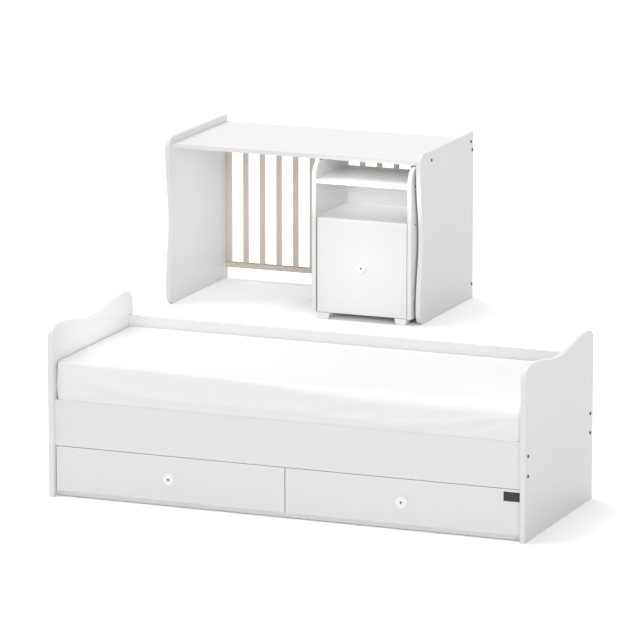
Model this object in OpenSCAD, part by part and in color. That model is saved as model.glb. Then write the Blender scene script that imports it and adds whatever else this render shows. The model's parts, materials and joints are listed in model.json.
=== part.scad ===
// Convertible crib in its grown-up form: a junior bed with two drawers, and a desk
// with a slatted back and a small drawer cabinet standing under its right end.
// The four end panels are one shape: the wavy edge is on top in the bed and in
// front in the desk. Millimetres, +Z up, the floor at z = 0, +X to the right,
// the fronts facing -Y. The origin is under the middle of the whole set.

/* [End panels] */
// Long side of an end panel: the bed's depth and the desk's height
panel_long = 760; // [700:5:850]
// Short side of an end panel: the bed's height and the desk's depth
panel_short = 668; // [640:4:760]
// Thickness of an end panel
panel_t = 20; // [18:1:25]
// Depth of the dip in the wavy edge
wave_depth = 32; // [10:1:45]
// Distance of each hump of the wave from the panel's corner
hump_in = 85; // [60:5:120]
// Radius of the two corners beside the wave
corner_r = 48; // [20:1:60]

/* [Bed frame] */
// Length of the bed over its end panels
bed_l = 1940; // [1700:10:2140]
// Thickness of the front and back boards
board_t = 18; // [16:1:22]
// How far the front and back boards stand inside the panels' edges
board_set = 22; // [15:1:40]
// Height of the front board's lower edge above the floor
front_board_z = 200; // [190:5:240]
// Width of the front board
front_board_h = 180; // [150:5:200]
// Height of the back board's lower edge above the floor
back_board_z = 32; // [10:2:60]
// Width of the back board
back_board_h = 540; // [500:5:560]
// Height of the bottom rail's lower edge above the floor
bed_rail_z = 2; // [1:0.5:4]
// Space between the bottom rail and the drawer fronts above it
bed_rail_gap = 2; // [1:0.5:4]
// How far the bottom rail stands behind the drawer fronts' faces
bed_rail_in = 14; // [8:1:20]
// Width of the bottom rail, from front to back
bed_rail_d = 60; // [40:1:90]
// Thickness of the upright partition between the drawers
partition_t = 18; // [16:1:25]
// Number of bed slats, an odd number so that one lies on the partition
slat_n = 15; // [11:2:19]
// Width of a bed slat
slat_w = 70; // [50:2:80]
// Thickness of a bed slat
slat_t = 18; // [12:1:22]
// Height of the ledgers that carry the slats
ledger_h = 35; // [25:1:45]
// Depth of the ledgers that carry the slats
ledger_d = 25; // [18:1:35]
// Play at each end of a slat and of a ledger
slat_play = 2; // [1:1:5]

/* [Mattress] */
// Thickness of the mattress
mattress_t = 152; // [100:2:160]
// Play between the mattress and the panels and back board
mattress_play = 2; // [1:1:12]
// Distance of the mattress's front behind the front board's face
mattress_in = 1; // [0:1:10]
// Radius of the mattress's upright corners
mattress_r = 30; // [20:5:80]

/* [Drawers] */
// Thickness of a drawer front
front_t = 16; // [15:1:19]
// Gap at the side of each bed drawer front
front_side_gap = 3; // [2:1:8]
// Gap between the two bed drawer fronts
front_mid_gap = 4; // [3:1:14]
// Gap above each bed drawer front
front_top_gap = 2; // [2:1:5]
// Clearance of the bed drawer fronts above the floor
front_floor_gap = 22; // [15:1:30]
// Thickness of the drawer boxes' sides and backs
box_t = 12; // [10:1:15]
// Thickness of the drawer bottoms
bottom_t = 4; // [3:0.5:6]
// Depth of the grooves that hold the drawer bottoms
groove_d = 5; // [3:0.5:6]
// Height of a drawer bottom above the lower edge of its sides
bottom_up = 6; // [4:1:12]
// Height of the bed drawers' boxes
bed_box_h = 120; // [90:5:125]
// Space between the bed drawers' boxes and the back board
bed_box_back = 42; // [30:1:70]
// Height of the bed drawers' boxes above the floor
bed_box_z = 50; // [42:1:60]

/* [Drawer runners] */
// Space for a runner between a drawer's side and the wall beside it
runner_gap = 12.5; // [12.5:0.5:14]
// Thickness of the runners' steel
steel_t = 1.2; // [1:0.1:1.5]
// Space between the bed drawers' runners and the back board
bed_runner_back = 78; // [70:2:160]
// Space between the cabinet drawer's runners and the back panel
cab_runner_back = 2; // [1:1:4]
// Radius of the rollers at the front of the fixed runners
roller_r = 11; // [9:0.5:12]
// Width of a roller
roller_w = 7; // [5:0.5:7]
// Radius of the pins that the rollers turn on
pin_r = 2.5; // [2:0.25:3]
// Distance of each roller's pin from its runner's end
pin_in = 14; // [13:1:25]
// Running clearance between a roller and the steel that it carries
run_clear = 0.3; // [0.2:0.05:0.4]

/* [Knobs] */
// Diameter of a knob
knob_d = 48; // [35:1:55]
// Diameter of a knob's foot
knob_foot_d = 36; // [20:1:40]
// How far a knob stands out
knob_h = 16; // [14:1:20]
// Thickness of a knob's rounded rim
knob_rim = 8; // [5:0.5:10]
// Diameter of the hole over the screw head
knob_bore_d = 9; // [9:0.5:12]
// Diameter of the knob screw
knob_screw_d = 4; // [3.5:0.5:5]
// Thickness of the bare plate on the right bed drawer
plate_t = 1; // [0.6:0.1:2]
// Length of the bare plate
plate_l = 64; // [40:2:80]
// Height of the bare plate
plate_h = 36; // [20:2:50]

/* [Desk] */
// Length of the desk over its end panels
desk_l = 1220; // [1150:10:1500]
// Thickness of the desktop
top_t = 20; // [18:1:25]
// How far the end panels stand up past the desktop
top_drop = 31; // [20:1:60]
// How far the desktop's front edge stands inside the wave's humps
top_set = 36; // [20:1:60]
// Number of upright bars in the slatted back
bar_n = 15; // [11:1:18]
// Space between each end panel and the bar next to it
bar_end_gap = 3; // [2:1:40]
// Width of an upright bar
bar_w = 26; // [20:1:35]
// Thickness of an upright bar
bar_t = 10; // [8:1:14]
// Height of the slatted back's two rails
rail_h = 24; // [20:1:40]
// Thickness of the slatted back's two rails
rail_t = 18; // [16:1:24]
// Distance of the slatted back from the panels' back edges
rail_set = 8; // [2:1:20]
// Height of the bottom rail above the floor
bottom_rail_z = 53; // [30:1:90]
// Space between the desktop and the top rail
rail_gap = 17; // [5:1:30]
// How deep the bars stand in the rails
tenon_l = 12; // [8:1:15]

/* [Cabinet] */
// Width of the cabinet over its sides
cab_w = 470; // [400:5:480]
// Depth of the cabinet
cab_d = 382; // [380:2:420]
// Space between the cabinet's sides and the desktop
cab_top_gap = 6; // [4:1:30]
// Thickness of the cabinet's boards
cab_t = 18; // [16:1:20]
// Radius of the sides' upper front corners
cab_r = 62; // [30:1:80]
// Height of the feet
foot_h = 30; // [20:1:40]
// Width of a foot at the cabinet
foot_top = 60; // [50:1:70]
// Width of a foot at the floor
foot_low = 44; // [35:1:50]
// Depth of a foot, from its front to its back
foot_deep = 60; // [50:1:64]
// Distance of a foot from the cabinet's outside
foot_in = 22; // [18:1:40]
// Height of the open niche
niche_h = 152; // [120:2:170]
// Height of the cabinet's sides above its top board
cab_rim = 75; // [65:1:100]
// Thickness of the back panel
back_t = 4; // [3:0.5:6]
// How far the drawer front stands inside the sides' front edges
cab_front_set = 6; // [2:1:10]
// Gap at each side of the cabinet drawer's front
cab_front_gap = 5; // [3:1:8]
// Gap under the cabinet drawer's front, above the line of the sides
cab_front_up = 2; // [1:1:6]
// Height of the cabinet drawer's box
cab_box_h = 260; // [150:5:290]
// Space between the cabinet drawer's box and the back panel
cab_box_back = 11; // [8:1:14]
// Height of the cabinet drawer's box above the cabinet's bottom board
cab_box_up = 20; // [14:1:60]
// Space between the cabinet and the desk's right panel
cab_side_gap = 11; // [8:1:60]
// How far the cabinet stands out in front of the desk
cab_out = 29; // [5:1:60]

/* [Fasteners] */
// Radius of the bolts that hold the end panels
bolt_r = 3; // [2.5:0.25:4]
// Length of a bolt under its head
bolt_l = 60; // [56:1:64]
// Radius of a bolt's head
bolt_head_r = 7; // [6:0.5:9]
// Height of a bolt's head
bolt_head_h = 2.5; // [2.2:0.1:4]
// Distance between the two bolts at each end of a bed board
bolt_spread = 76; // [50:2:90]
// Radius of a barrel nut
nut_r = 5; // [4.5:0.25:6]
// Length of a barrel nut
nut_l = 12; // [10:1:14]
// Depth of a barrel nut's middle in the board's end
nut_in = 34; // [30:1:36]
// Clearance round a bolt or a dowel in its hole
hole_clear = 0.1; // [0.05:0.05:0.3]
// Radius of a dowel
dowel_r = 4; // [3:0.5:4.5]
// Length of a dowel
dowel_l = 36; // [30:1:40]
// Depth of a dowel in an end panel
dowel_in = 12; // [8:1:14]
// Radius of the cabinet's assembly screws
screw_r = 2.5; // [2:0.25:3.5]
// Length of a cabinet screw
screw_l = 46; // [40:1:46]
// Radius of a cabinet screw's head
screw_head_r = 5; // [4:0.5:6]
// Height of a cabinet screw's head
screw_head_h = 3; // [2:0.5:5]
// Radius of the plug in the spare hole under the desktop
plug_r = 5.5; // [4:0.5:8]
// Place of the plug to the right of the desk's middle
plug_x = 156; // [60:1:250]

/* [Layout of the set] */
// Free floor between the bed's back and the desk's front
desk_gap = 2670; // [400:2:3000]
// Place of the desk's middle to the left of the bed's middle
desk_left = 1370; // [0:10:2000]

/* [Hidden] */
$fn = 64;

// Overlap of a cutting shape past the face that it cuts
cut = 1;
// Clearance of a drawer bottom in its groove, and of a pin in its roller
groove_clear = 0.1;
pin_clear = 0.05;
// Gap that keeps the soft mattress off what carries it
soft_gap = 0.3;

// The whole set's corners, from the bed's middle and its front
set_right = max(bed_l / 2, desk_l / 2 - desk_left) + bolt_head_h;
set_left = -max(bed_l / 2, desk_l / 2 + desk_left) - bolt_head_h;
set_back = panel_long + desk_gap + panel_short;
bed_at = [-(set_left + set_right) / 2, -set_back / 2, 0];
desk_at = bed_at + [-desk_left, panel_long + desk_gap, 0];

// Bed: inner faces and levels
bed_in = bed_l / 2 - panel_t;
front_y = board_set;
back_y = panel_long - board_set - board_t;
slat_z = front_board_z + front_board_h - slat_t;
ledger_z = slat_z - ledger_h;

// Desk: inner faces and levels
desk_in = desk_l / 2 - panel_t;
top_z = panel_long - top_drop - top_t;
rail_y = panel_short - rail_set - rail_t;
top_rail_z = top_z - rail_gap - rail_h;

// Desk: the bars, evenly spread and tenoned into both rails
bar_pitch = (2 * (desk_in - bar_end_gap) - bar_w) / (bar_n - 1);
bar_z0 = bottom_rail_z + rail_h - tenon_l;
bar_z1 = top_rail_z + tenon_l;
bar_y = rail_y + (rail_t - bar_t) / 2;

// Desk: the stem, cap and place of the plug
plug_stem_r = 4;
plug_stem_l = 10;
plug_cap_t = 3;
plug_in = 12;
plug_y = top_set + plug_in;

// Cabinet: its place, inner faces and levels
cab_at = desk_at + [desk_in - cab_side_gap - cab_w / 2, -cab_out, 0];
cab_in = cab_w / 2 - cab_t;
cab_h = top_z - cab_top_gap;
cab_top_z = cab_h - cab_rim - cab_t;
niche_z = cab_top_z - niche_h;

// Cabinet: the depth of its boards, and how far inside the sides' front edges they start
board_depth = cab_d - back_t;
top_board_y = 8;
board_gap = 2;
lower_board_y = cab_front_set + front_t + board_gap;

// A drawer is a list: the faces of its bay in x, the edges of its front in x and in z,
// the outer face of its front, its box's back, height and lower edge, its runners' back
function bed_drawer(side) = [
    side < 0 ? -bed_in : partition_t / 2, side < 0 ? -partition_t / 2 : bed_in,
    side < 0 ? -bed_in + front_side_gap : front_mid_gap / 2,
    side < 0 ? -front_mid_gap / 2 : bed_in - front_side_gap,
    front_floor_gap, front_board_z - front_top_gap,
    front_y, back_y - bed_box_back, bed_box_h, bed_box_z, back_y - bed_runner_back];
left_drawer = bed_drawer(-1);
right_drawer = bed_drawer(1);
cab_drawer = [-cab_in, cab_in, -cab_in + cab_front_gap, cab_in - cab_front_gap,
    foot_h + cab_front_up, niche_z, cab_front_set, board_depth - cab_box_back, cab_box_h,
    foot_h + cab_t + cab_box_up, board_depth - cab_runner_back];
function bay_x0(d) = d[0];
function bay_x1(d) = d[1];
function bay_mid(d) = (d[0] + d[1]) / 2;
function front_x0(d) = d[2];
function front_x1(d) = d[3];
function front_z0(d) = d[4];
function front_z1(d) = d[5];
function face_y(d) = d[6];
function box_y0(d) = d[6] + front_t;
function box_y1(d) = d[7];
function box_h(d) = d[8];
function box_z(d) = d[9];
function side_x(d) = bay_x0(d) + runner_gap;

// Runners: the rollers' middle is above the box's lower edge, and the steel on the
// drawer rides on top of the fixed roller
roller_up = 3.5;
rear_roller_r = roller_r - steel_t - run_clear;
roller_x = (runner_gap - roller_w) / 2;
channel_clear = 0.8;
channel_out = runner_gap - steel_t - channel_clear;
flange_gap = 3;
flange_start = pin_in + roller_r + flange_gap;
pin_head_t = 0.6;
pin_head_r = pin_r + 1;
fixed_in = 4;
moving_short = 14;
function fixed_y0(d) = box_y0(d) + fixed_in;
function fixed_y1(d) = d[10];
function moving_y1(d) = fixed_y1(d) - moving_short;
function roller_z(d) = box_z(d) + roller_up;

// Bed: the front and top faces of the rail that lies under the drawer fronts
bed_rail_y = front_y + bed_rail_in;
bed_rail_top = front_floor_gap - bed_rail_gap;

// Knob screws: the head's depth in the knob's hole, its height and its play
knob_screw_sink = 3;
knob_screw_head_h = 2.5;
knob_screw_play = 0.5;
knob_screw_short = 1;
knob_floor = knob_h - knob_screw_sink - knob_screw_head_h;

// Joints of the end panels: the bolt's y and z, and the turn of its barrel nut about x,
// so that the nut's hole opens at the hidden face of the board
bed_bolts = [
    for (s = [-1, 1]) [front_y + board_t / 2,
        front_board_z + front_board_h / 2 + s * bolt_spread / 2, -90],
    for (s = [-1, 1]) [back_y + board_t / 2,
        back_board_z + back_board_h / 2 + s * bolt_spread / 2, 90]];
top_bolt_in = 101;
top_bolt_back = 34;
desk_bolts = [
    [top_set + top_bolt_in, top_z + top_t / 2, 180],
    [panel_short - top_bolt_back, top_z + top_t / 2, 180],
    [rail_y + rail_t / 2, top_rail_z + rail_h / 2, -90],
    [rail_y + rail_t / 2, bottom_rail_z + rail_h / 2, -90]];
dowel_edge = 78;
bed_dowels = [
    [front_y + board_t / 2, front_board_z + front_board_h / 2],
    [back_y + board_t / 2, back_board_z + dowel_edge],
    [back_y + board_t / 2, back_board_z + back_board_h - dowel_edge],
    [bed_rail_y + bed_rail_d / 2, (bed_rail_z + bed_rail_top) / 2]];
top_dowel_in = 200;
desk_dowels = [
    [top_set + top_dowel_in, top_z + top_t / 2],
    [panel_short - top_dowel_in, top_z + top_t / 2]];

// Cabinet: screws through the sides into its boards' ends, and through its four feet
cab_screw_in = 50;
cab_board_z = [foot_h + cab_t / 2, niche_z - cab_t / 2, cab_top_z + cab_t / 2];
cab_screws = [for (z = cab_board_z, y = [cab_screw_in, cab_d - cab_screw_in]) [y, z]];
foot_sink = 1;
foot_mid = foot_in + foot_top / 2;
foot_xy = [for (s = [-1, 1],
        y = [cab_front_set + foot_deep / 2, cab_d - foot_in - foot_deep / 2])
    [s * (cab_w / 2 - foot_mid), y]];

// Block between two corners
module block(lo, hi) {
    translate(lo) cube(hi - lo);
}

// The same shape at the left end, as drawn, and mirrored at the right end
module both_ends() {
    children();
    mirror([1, 0, 0]) children();
}

// The same shape on both sides of a drawer, drawn for the left
module both_sides(d) {
    children();
    translate([2 * bay_mid(d), 0, 0]) mirror([1, 0, 0]) children();
}

// Cylinder along +X
module rod_x(r, l) {
    rotate([0, 90, 0]) cylinder(r = r, h = l);
}

// Outline of an end panel, its long side along x and its wavy edge on top
function wave(u) = panel_short - wave_depth *
    (1 - cos(360 * (u - hump_in) / (panel_long - 2 * hump_in))) / 2;
function arc(at, r, a0, a1, n) = [
    for (i = [0:n]) at + r * [cos(a0 + (a1 - a0) * i / n), sin(a0 + (a1 - a0) * i / n)]];
module panel_outline() {
    wave_n = 44;
    arc_n = 14;
    r = min(corner_r, hump_in);
    wave_in = r + 1;
    polygon(concat(
        [[0, 0], [panel_long, 0]],
        arc([panel_long - r, panel_short - r], r, 0, 90, arc_n),
        [for (i = [wave_n:-1:0]) let (u = hump_in + (panel_long - 2 * hump_in) * i / wave_n)
            if (u > wave_in && u < panel_long - wave_in) [u, wave(u)]],
        arc([r, panel_short - r], r, 90, 180, arc_n)));
}

// End panel standing at x = 0 to panel_t, as the bed uses it
module end_panel() {
    rotate([90, 0, 90]) linear_extrude(panel_t) panel_outline();
}

// Holes of one unit's left end panel: through holes for bolts, blind ones for dowels
module end_holes(length, bolts, dowels) {
    for (b = bolts) translate([-length / 2 - cut, b[0], b[1]])
        rod_x(bolt_r + hole_clear, panel_t + 2 * cut);
    for (p = dowels) translate([-length / 2 + panel_t - dowel_in - hole_clear, p[0], p[1]])
        rod_x(dowel_r + hole_clear, dowel_in + hole_clear + cut);
}

// Holes in the ends of the boards between the panels
module board_holes(length, bolts, dowels, thick) {
    both_ends() {
        for (b = bolts) translate([-length / 2, b[0], b[1]]) {
            rod_x(bolt_r + hole_clear, bolt_l + cut);
            translate([panel_t + nut_in, 0, 0]) rotate([b[2], 0, 0])
                translate([0, 0, -nut_l / 2 - hole_clear])
                    cylinder(r = nut_r + hole_clear, h = nut_l / 2 + thick / 2 + cut);
        }
        for (p = dowels) translate([-length / 2 + panel_t - cut, p[0], p[1]])
            rod_x(dowel_r + hole_clear, dowel_l - dowel_in + hole_clear + cut);
    }
}

// Flat-headed bolt with a hexagon socket, its head outside the left end panel
module bolt() {
    socket_r = 2.3;
    difference() {
        union() {
            translate([-bolt_head_h, 0, 0]) rod_x(bolt_head_r, bolt_head_h);
            rod_x(bolt_r, bolt_l);
        }
        translate([-bolt_head_h - cut, 0, 0]) rotate([0, 90, 0])
            cylinder(r = socket_r, h = bolt_head_h + cut, $fn = 6);
    }
}

// Barrel nut, its threaded hole along X
module barrel_nut() {
    difference() {
        translate([0, 0, -nut_l / 2]) cylinder(r = nut_r, h = nut_l);
        translate([-nut_r - cut, 0, 0]) rod_x(bolt_r + pin_clear, 2 * (nut_r + cut));
    }
}

module panel_bolts() {
    color("dimgray") {
        translate(bed_at) both_ends() for (b = bed_bolts)
            translate([-bed_l / 2, b[0], b[1]]) bolt();
        translate(desk_at) both_ends() for (b = desk_bolts)
            translate([-desk_l / 2, b[0], b[1]]) bolt();
    }
}

module panel_barrel_nuts() {
    color("silver") {
        translate(bed_at) both_ends() for (b = bed_bolts)
            translate([-bed_in + nut_in, b[0], b[1]]) rotate([b[2], 0, 0]) barrel_nut();
        translate(desk_at) both_ends() for (b = desk_bolts)
            translate([-desk_in + nut_in, b[0], b[1]]) rotate([b[2], 0, 0]) barrel_nut();
    }
}

module panel_dowels() {
    color("burlywood") {
        translate(bed_at) both_ends() for (p = bed_dowels)
            translate([-bed_in - dowel_in, p[0], p[1]]) rod_x(dowel_r, dowel_l);
        translate(desk_at) both_ends() for (p = desk_dowels)
            translate([-desk_in - dowel_in, p[0], p[1]]) rod_x(dowel_r, dowel_l);
    }
}

// Bed
module bed_end() {
    difference() {
        translate([-bed_l / 2, 0, 0]) end_panel();
        end_holes(bed_l, bed_bolts, bed_dowels);
    }
}

module bed_left_panel() {
    color("white") translate(bed_at) bed_end();
}

module bed_right_panel() {
    color("white") translate(bed_at) mirror([1, 0, 0]) bed_end();
}

module bed_front_board() {
    color("white") translate(bed_at) difference() {
        block([-bed_in, front_y, front_board_z],
            [bed_in, front_y + board_t, front_board_z + front_board_h]);
        board_holes(bed_l, [bed_bolts[0], bed_bolts[1]], [bed_dowels[0]], board_t);
    }
}

module bed_back_board() {
    color("white") translate(bed_at) difference() {
        block([-bed_in, back_y, back_board_z],
            [bed_in, back_y + board_t, back_board_z + back_board_h]);
        board_holes(bed_l, [bed_bolts[2], bed_bolts[3]], [bed_dowels[1], bed_dowels[2]],
            board_t);
    }
}

// The bottom rail lies flat under the drawer fronts, from end panel to end panel
module bed_bottom_rail() {
    color("white") translate(bed_at) difference() {
        block([-bed_in, bed_rail_y, bed_rail_z],
            [bed_in, bed_rail_y + bed_rail_d, bed_rail_top]);
        board_holes(bed_l, [], [bed_dowels[3]], board_t);
    }
}

// The partition stands on the floor, takes the bottom rail in a notch, and carries the
// ledgers and the middle slat
module bed_centre_partition() {
    x = partition_t / 2;
    y0 = front_y + board_t;
    color("white") translate(bed_at) difference() {
        block([-x, y0, 0], [x, back_y, slat_z]);
        block([-x - cut, y0 - cut, -cut],
            [x + cut, bed_rail_y + bed_rail_d, bed_rail_top]);
        block([-x - cut, y0 - cut, ledger_z], [x + cut, y0 + ledger_d, slat_z + cut]);
        block([-x - cut, back_y - ledger_d, ledger_z], [x + cut, back_y + cut, slat_z + cut]);
    }
}

module bed_ledgers() {
    x = bed_in - slat_play;
    color("burlywood") translate(bed_at)
        for (y = [front_y + board_t, back_y - ledger_d])
            block([-x, y, ledger_z], [x, y + ledger_d, slat_z]);
}

module bed_slats() {
    space = (2 * bed_in - slat_n * slat_w) / (slat_n + 1);
    color("burlywood") translate(bed_at) for (i = [0:slat_n - 1])
        translate([-bed_in + space + i * (slat_w + space), 0, 0])
            block([0, front_y + board_t + slat_play, slat_z],
                [slat_w, back_y - slat_play, slat_z + slat_t]);
}

// The mattress lies on the slats and the front board's edge, up against the back board
module mattress() {
    x = bed_in - mattress_play;
    color("whitesmoke") translate(bed_at)
        translate([0, 0, slat_z + slat_t + soft_gap]) linear_extrude(mattress_t) {
            y0 = front_y + mattress_in;
            y1 = back_y - mattress_play;
            translate([-x, y0 + mattress_r]) square([2 * x, y1 - y0 - 2 * mattress_r]);
            translate([-x + mattress_r, y0]) square([2 * (x - mattress_r), y1 - y0]);
            for (s = [-1, 1], y = [y0 + mattress_r, y1 - mattress_r])
                translate([s * (x - mattress_r), y]) circle(mattress_r);
        }
}

// Drawer runners, drawn for the left side of a bay
module pin(r) {
    rod_x(pin_r, r);
    translate([r - pin_head_t, 0, 0]) rod_x(pin_head_r, pin_head_t);
}

// Channel on the wall, open towards the drawer, with the front roller's pin
module fixed_runner(d) {
    y0 = fixed_y0(d);
    y1 = fixed_y1(d);
    z = roller_z(d);
    translate([bay_x0(d), 0, 0]) {
        block([0, y0, z - roller_r], [steel_t, y1, z + roller_r]);
        for (f = [z - roller_r, z + roller_r - steel_t])
            block([0, y0 + flange_start, f], [channel_out, y1, f + steel_t]);
        translate([0, y0 + pin_in, z]) pin(roller_x + roller_w + 2 * pin_head_t);
    }
}

// Steel angle under and beside the drawer's side, with the rear roller's pin
module moving_runner(d) {
    y0 = box_y0(d);
    y1 = moving_y1(d);
    z = roller_z(d);
    flange_z = z + roller_r + run_clear;
    translate([side_x(d), 0, 0]) {
        block([-steel_t, y0, box_z(d) - steel_t], [0, y1, flange_z + steel_t]);
        block([-steel_t, y0, box_z(d) - steel_t], [box_t, y1, box_z(d)]);
        block([-runner_gap + roller_x, y0, flange_z], [0, y1, flange_z + steel_t]);
        translate([0, y1 - pin_in, z]) mirror([1, 0, 0])
            pin(runner_gap - roller_x + 2 * pin_head_t);
    }
}

module roller(r) {
    translate([roller_x, 0, 0]) difference() {
        rod_x(r, roller_w);
        translate([-cut, 0, 0]) rod_x(pin_r + pin_clear, roller_w + 2 * cut);
    }
}

module fixed_runners(d) {
    color("gainsboro") both_sides(d) fixed_runner(d);
}

module moving_runners(d) {
    color("gainsboro") both_sides(d) moving_runner(d);
}

module front_rollers(d) {
    color("whitesmoke") both_sides(d)
        translate([bay_x0(d), fixed_y0(d) + pin_in, roller_z(d)]) roller(roller_r);
}

module rear_rollers(d) {
    color("whitesmoke") both_sides(d)
        translate([bay_x0(d), moving_y1(d) - pin_in, roller_z(d)]) roller(rear_roller_r);
}

// Drawer boards
module bottom_space(d, clear) {
    x = side_x(d) + box_t - groove_d;
    y0 = box_y0(d) - groove_d;
    y1 = box_y1(d) - box_t + groove_d;
    z = box_z(d) + bottom_up;
    block([x - clear, y0 - clear, z - clear],
        [2 * bay_mid(d) - x + clear, y1 + clear, z + bottom_t + clear]);
}

function knob_at(d) = [(front_x0(d) + front_x1(d)) / 2, face_y(d),
    (front_z0(d) + front_z1(d)) / 2];

module drawer_front(d) {
    color("white") difference() {
        block([front_x0(d), face_y(d), front_z0(d)],
            [front_x1(d), face_y(d) + front_t, front_z1(d)]);
        bottom_space(d, groove_clear);
        translate(knob_at(d) - [0, cut, 0]) rotate([-90, 0, 0])
            cylinder(d = knob_screw_d + 2 * hole_clear, h = front_t + 2 * cut);
    }
}

module drawer_side(d) {
    difference() {
        block([side_x(d), box_y0(d), box_z(d)],
            [side_x(d) + box_t, box_y1(d), box_z(d) + box_h(d)]);
        bottom_space(d, groove_clear);
    }
}

module drawer_left_side(d) {
    color("white") drawer_side(d);
}

module drawer_right_side(d) {
    color("white") translate([2 * bay_mid(d), 0, 0]) mirror([1, 0, 0]) drawer_side(d);
}

module drawer_back(d) {
    x = side_x(d) + box_t;
    y = box_y1(d);
    color("white") difference() {
        block([x, y - box_t, box_z(d)], [2 * bay_mid(d) - x, y, box_z(d) + box_h(d)]);
        bottom_space(d, groove_clear);
    }
}

module drawer_bottom(d) {
    color("white") bottom_space(d, 0);
}

// Mushroom knob turned about its screw, facing -Y
module knob(d) {
    rim_r = knob_rim / 2;
    flare = knob_h - knob_rim;
    foot_r = knob_foot_d / 2;
    bore_r = knob_screw_d / 2 + hole_clear;
    rise = knob_d / 2 - rim_r - foot_r;
    color("white") translate(knob_at(d)) rotate([90, 0, 0]) rotate_extrude() polygon(concat(
        [[bore_r, 0]],
        [for (a = [0:15:90]) [foot_r + rise * (1 - cos(a)), flare * sin(a)]],
        [for (a = [-75:15:90]) [knob_d / 2 - rim_r + rim_r * cos(a),
            flare + rim_r + rim_r * sin(a)]],
        [[knob_bore_d / 2, knob_h], [knob_bore_d / 2, knob_floor], [bore_r, knob_floor]]));
}

// Pan-headed screw through the knob and the drawer's front, with a hexagon socket
module knob_screw(d) {
    socket_r = 1.3;
    socket_d = 1.6;
    color("dimgray") translate(knob_at(d)) rotate([90, 0, 0]) difference() {
        union() {
            translate([0, 0, knob_floor])
                cylinder(r = knob_bore_d / 2 - knob_screw_play, h = knob_screw_head_h);
            translate([0, 0, knob_screw_short - front_t])
                cylinder(d = knob_screw_d, h = front_t - knob_screw_short + knob_floor);
        }
        translate([0, 0, knob_floor + knob_screw_head_h - socket_d])
            cylinder(r = socket_r, h = socket_d + cut, $fn = 6);
    }
}

module left_drawer_front() { translate(bed_at) drawer_front(left_drawer); }
module left_drawer_left_side() { translate(bed_at) drawer_left_side(left_drawer); }
module left_drawer_right_side() { translate(bed_at) drawer_right_side(left_drawer); }
module left_drawer_back() { translate(bed_at) drawer_back(left_drawer); }
module left_drawer_bottom() { translate(bed_at) drawer_bottom(left_drawer); }
module left_drawer_knob() { translate(bed_at) knob(left_drawer); }
module left_drawer_knob_screw() { translate(bed_at) knob_screw(left_drawer); }
module left_drawer_runners() { translate(bed_at) moving_runners(left_drawer); }
module left_front_rollers() { translate(bed_at) front_rollers(left_drawer); }
module left_rear_rollers() { translate(bed_at) rear_rollers(left_drawer); }

module right_drawer_front() { translate(bed_at) drawer_front(right_drawer); }
module right_drawer_left_side() { translate(bed_at) drawer_left_side(right_drawer); }
module right_drawer_right_side() { translate(bed_at) drawer_right_side(right_drawer); }
module right_drawer_back() { translate(bed_at) drawer_back(right_drawer); }
module right_drawer_bottom() { translate(bed_at) drawer_bottom(right_drawer); }
module right_drawer_knob() { translate(bed_at) knob(right_drawer); }
module right_drawer_knob_screw() { translate(bed_at) knob_screw(right_drawer); }
module right_drawer_runners() { translate(bed_at) moving_runners(right_drawer); }
module right_front_rollers() { translate(bed_at) front_rollers(right_drawer); }
module right_rear_rollers() { translate(bed_at) rear_rollers(right_drawer); }

// Bare plate near the upper right corner of the right drawer's front
module right_drawer_plate() {
    plate_in = 5;
    plate_r = 2;
    plate_down = 10;
    x1 = front_x1(right_drawer) - plate_in;
    z1 = front_z1(right_drawer) - plate_down;
    color("dimgray") translate(bed_at + [x1 - plate_l, front_y, z1 - plate_h])
        rotate([90, 0, 0]) linear_extrude(plate_t) {
            translate([plate_r, 0]) square([plate_l - 2 * plate_r, plate_h]);
            translate([0, plate_r]) square([plate_l, plate_h - 2 * plate_r]);
            for (x = [plate_r, plate_l - plate_r], z = [plate_r, plate_h - plate_r])
                translate([x, z]) circle(plate_r);
        }
}

module bed_drawer_runners() {
    translate(bed_at) {
        fixed_runners(left_drawer);
        fixed_runners(right_drawer);
    }
}

// Desk
module desk_end() {
    difference() {
        translate([-desk_l / 2, panel_short, 0]) rotate([90, 0, 0]) end_panel();
        end_holes(desk_l, desk_bolts, desk_dowels);
    }
}

module desk_left_panel() {
    color("white") translate(desk_at) desk_end();
}

module desk_right_panel() {
    color("white") translate(desk_at) mirror([1, 0, 0]) desk_end();
}

module desk_top() {
    color("white") translate(desk_at) difference() {
        block([-desk_in, top_set, top_z], [desk_in, panel_short, top_z + top_t]);
        board_holes(desk_l, [desk_bolts[0], desk_bolts[1]], desk_dowels, top_t);
        translate([plug_x, plug_y, top_z - cut])
            cylinder(r = plug_stem_r + hole_clear, h = plug_stem_l + hole_clear + cut);
    }
}

// Plug in a spare hole under the desktop, near its front edge
module desk_hole_plug() {
    color("dimgray") translate(desk_at + [plug_x, plug_y, top_z]) {
        translate([0, 0, -plug_cap_t]) cylinder(r = plug_r, h = plug_cap_t);
        cylinder(r = plug_stem_r, h = plug_stem_l);
    }
}

module bars(clear) {
    for (i = [0:bar_n - 1]) translate([(i - (bar_n - 1) / 2) * bar_pitch, bar_y, 0])
        block([-bar_w / 2 - clear, -clear, bar_z0 - clear],
            [bar_w / 2 + clear, bar_t + clear, bar_z1 + clear]);
}

module slat_rail(z, b) {
    color("antiquewhite") translate(desk_at) difference() {
        block([-desk_in, rail_y, z], [desk_in, rail_y + rail_t, z + rail_h]);
        bars(groove_clear);
        board_holes(desk_l, [b], [], rail_t);
    }
}

module desk_slat_top_rail() {
    slat_rail(top_rail_z, desk_bolts[2]);
}

module desk_slat_bottom_rail() {
    slat_rail(bottom_rail_z, desk_bolts[3]);
}

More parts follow.
